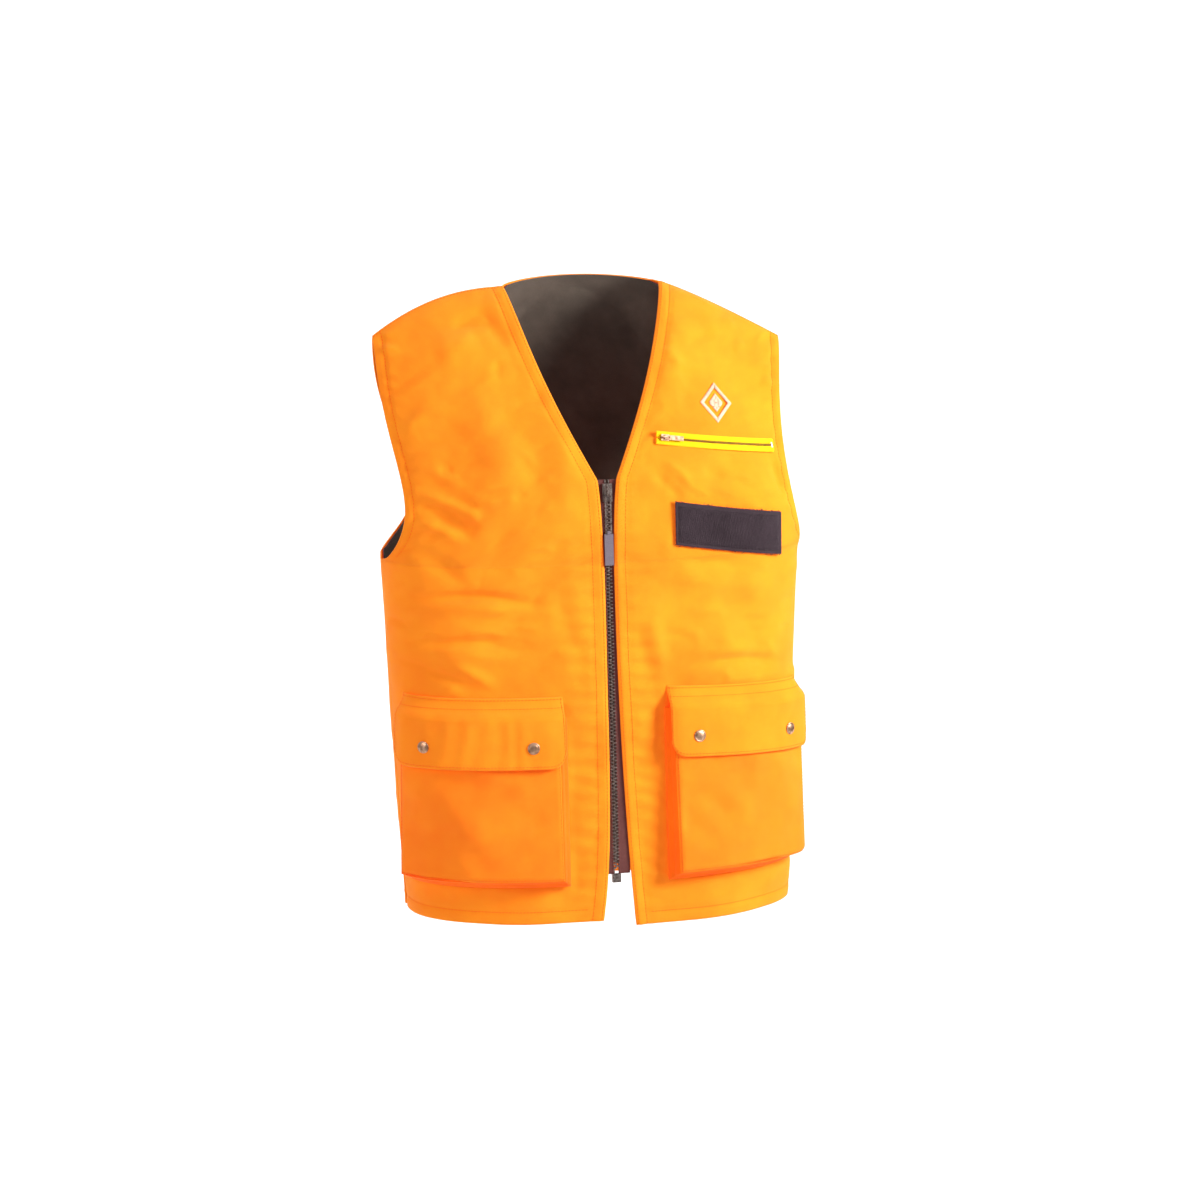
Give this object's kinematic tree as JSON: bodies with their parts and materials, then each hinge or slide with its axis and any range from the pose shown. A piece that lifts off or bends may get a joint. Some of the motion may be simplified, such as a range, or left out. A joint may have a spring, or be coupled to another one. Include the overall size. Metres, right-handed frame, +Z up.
{
  "type": "hunting vest",
  "caption": "Sleeveless blaze orange cloth vest with a V neck, a full front zip, a zipped chest pocket, a loop patch and bellows cargo pockets under snapped flaps.",
  "frame": {"origin": "on the centre plane, level with the neck ends of the shoulder seams, where a hanger's stem passes", "axes": "+Z up, -Y to the front of the vest, +X to the wearer's left"},
  "size_m": [0.462, 0.2285, 0.6692],
  "materials": {
    "shell_cloth": "matt fluorescent orange twill",
    "lining_cloth": "matt dark brown plain weave",
    "zip_tape": "plum brown woven tape",
    "chest_tape": "bright yellow woven tape",
    "loop_pile": "dark plum loop pile",
    "badge_thread": "pale embroidery thread",
    "zip_metal": "antique grey brown",
    "snap_brass": "antique copper brass",
    "coil_plastic": "dark moulded coil",
    "pull_tab": "grey lavender moulded tab"
  },
  "bodies": {
    "torso": {"back_shell": "shell_cloth", "back_lining": "lining_cloth", "yoke_right_shell": "shell_cloth", "yoke_right_lining": "lining_cloth", "yoke_left_shell": "shell_cloth", "yoke_left_lining": "lining_cloth"},
    "chest_right": {"chest_right_shell": "shell_cloth", "chest_right_lining": "lining_cloth"},
    "chest_left": {"chest_left_shell": "shell_cloth", "chest_left_lining": "lining_cloth", "badge": "badge_thread", "chest_zip_upper_tape": "chest_tape", "chest_zip_lower_tape": "chest_tape", "chest_zip_coil": "coil_plastic", "chest_zip_end_stop": "zip_metal"},
    "front_right": {"front_right_shell": "shell_cloth", "front_right_lining": "lining_cloth", "front_right_facing": "shell_cloth", "zip_right_tape": "zip_tape", "zip_right_teeth": "zip_metal", "zip_right_top_stop": "zip_metal", "zip_pin": "zip_metal", "pocket_right_bellows": "shell_cloth", "pocket_right_front": "shell_cloth", "snap_stud_right_inner": "snap_brass", "snap_stud_right_outer": "snap_brass"},
    "front_left": {"front_left_shell": "shell_cloth", "front_left_lining": "lining_cloth", "front_left_facing": "shell_cloth", "zip_left_tape": "zip_tape", "zip_left_teeth": "zip_metal", "zip_left_top_stop": "zip_metal", "zip_box": "zip_metal", "pocket_left_bellows": "shell_cloth", "pocket_left_front": "shell_cloth", "loop_patch": "loop_pile", "chest_pocket_bag": "lining_cloth", "snap_stud_left_inner": "snap_brass", "snap_stud_left_outer": "snap_brass"},
    "flap_right": {"flap_right": "shell_cloth", "snap_cap_right_inner": "snap_brass", "snap_cap_right_outer": "snap_brass", "snap_socket_right_inner": "snap_brass", "snap_socket_right_outer": "snap_brass"},
    "flap_left": {"flap_left": "shell_cloth", "snap_cap_left_inner": "snap_brass", "snap_cap_left_outer": "snap_brass", "snap_socket_left_inner": "snap_brass", "snap_socket_left_outer": "snap_brass"},
    "zip_slider": {"zip_slider": "zip_metal"},
    "zip_puller": {"zip_puller": "zip_metal"},
    "zip_tab": {"zip_tab": "pull_tab"},
    "chest_slider": {"chest_zip_slider": "zip_metal"},
    "chest_puller": {"chest_zip_puller": "zip_metal"}
  },
  "joints": [
    {"name": "front_right_swing", "type": "hinge", "parent": "torso", "child": "front_right", "pos_m": [-0.208, -0.06, -0.669], "axis": [0.0541, -0.0567, -0.9969], "range_deg": [0, 30]},
    {"name": "front_left_swing", "type": "hinge", "parent": "torso", "child": "front_left", "pos_m": [0.215, -0.06, -0.669], "axis": [0.0464, 0.0567, 0.9973], "range_deg": [0, 30]},
    {"name": "chest_right_swing", "type": "hinge", "parent": "torso", "child": "chest_right", "pos_m": [-0.208, -0.06, -0.669], "axis": [0.0541, -0.0567, -0.9969], "range_deg": [0, 27]},
    {"name": "chest_left_swing", "type": "hinge", "parent": "torso", "child": "chest_left", "pos_m": [0.215, -0.06, -0.669], "axis": [0.0464, 0.0567, 0.9973], "range_deg": [0, 27]},
    {"name": "zip_slider_travel", "type": "slide", "parent": "front_left", "child": "zip_slider", "axis": [0, -0.1047, -0.9945], "range_m": [0, 0.395]},
    {"name": "zip_puller_swing", "type": "hinge", "parent": "zip_slider", "child": "zip_puller", "pos_m": [0, -0.11797, -0.20423], "axis": [-1, 0, 0], "range_deg": [0, 120]},
    {"name": "zip_tab_swing", "type": "hinge", "parent": "zip_puller", "child": "zip_tab", "pos_m": [0, -0.12262, -0.24839], "axis": [-1, 0, 0], "range_deg": [0, 90]},
    {"name": "chest_slider_travel", "type": "hinge", "parent": "chest_left", "child": "chest_slider", "pos_m": [0.05753, 0.23708, -0.15364], "axis": [0.1445, 0, 0.9895], "range_deg": [0, 21]},
    {"name": "chest_puller_swing", "type": "hinge", "parent": "chest_slider", "child": "chest_puller", "pos_m": [0.0677, -0.10076, -0.15261], "axis": [-0.118, -0.429, -0.8955], "range_deg": [0, 120]},
    {"name": "flap_right_lift", "type": "hinge", "parent": "front_right", "child": "flap_right", "pos_m": [-0.13853, -0.11717, -0.42144], "axis": [-0.9354, 0.3536, -0.0006], "range_deg": [0, 100]},
    {"name": "flap_left_lift", "type": "hinge", "parent": "front_left", "child": "flap_left", "pos_m": [0.14288, -0.1175, -0.42143], "axis": [-0.9383, -0.3406, 0.0602], "range_deg": [0, 100]}
  ],
  "couplings": [
    {"joint": "front_left_swing", "follows": "front_right_swing", "ratio": 1},
    {"joint": "chest_right_swing", "follows": "front_right_swing", "ratio": 0.89},
    {"joint": "chest_left_swing", "follows": "front_right_swing", "ratio": 0.89},
    {"joint": "zip_slider_travel", "follows": "front_right_swing", "m_per_rad": 0.7542}
  ]
}
